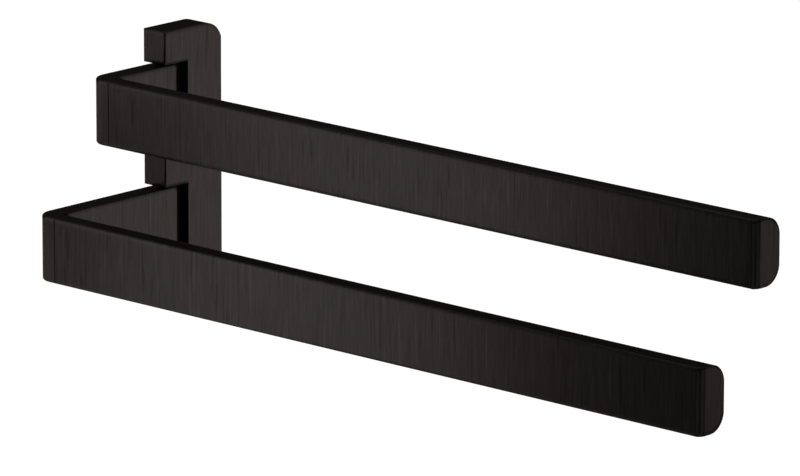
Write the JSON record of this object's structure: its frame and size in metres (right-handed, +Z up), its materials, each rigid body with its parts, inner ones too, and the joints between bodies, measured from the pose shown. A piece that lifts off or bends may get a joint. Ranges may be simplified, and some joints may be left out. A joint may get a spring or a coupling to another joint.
{
  "type": "two-arm towel holder",
  "caption": "Wall-mounted towel holder in dark brushed metal: flat bars at different heights swivel on a rod through a slotted bracket.",
  "frame": {"origin": "on the wall plane, midway between the two wall screw holes, at the bracket's mid-height", "axes": "+Y points into the wall, so the arms run along -Y into the room; +X points right along the wall for a viewer facing it; +Z points up"},
  "size_m": [0.1269, 0.45, 0.1348],
  "materials": {
    "dark_metal": "fine vertical brushing, warm near-black coating",
    "steel": "plain stainless steel",
    "polymer": "smooth moulded",
    "rubber": "plain"
  },
  "bodies": {
    "bracket": {"bracket_body": "dark_metal", "wall_plate": "steel", "plate_lock_screw": "steel", "pivot_rod": "steel", "rod_set_screw": "steel", "rod_lock_screw": "steel"},
    "upper_arm": {"upper_leg": "dark_metal", "upper_bar": "dark_metal", "upper_end_cap": "dark_metal", "upper_bar_screws": "steel", "upper_bush_top": "polymer", "upper_bush_bottom": "polymer", "upper_friction_rings": "rubber"},
    "lower_arm": {"lower_leg": "dark_metal", "lower_bar": "dark_metal", "lower_end_cap": "dark_metal", "lower_bar_screws": "steel", "lower_bush_top": "polymer", "lower_bush_bottom": "polymer", "lower_friction_rings": "rubber"}
  },
  "joints": [
    {"name": "upper_arm_swing", "type": "hinge", "parent": "bracket", "child": "upper_arm", "pos_m": [-0.0216, -0.00925, 0.03235], "axis": [0, 0, 1], "range_deg": [0, 90]},
    {"name": "lower_arm_swing", "type": "hinge", "parent": "bracket", "child": "lower_arm", "pos_m": [-0.0216, -0.00925, -0.03235], "axis": [0, 0, 1], "range_deg": [0, 90]}
  ]
}
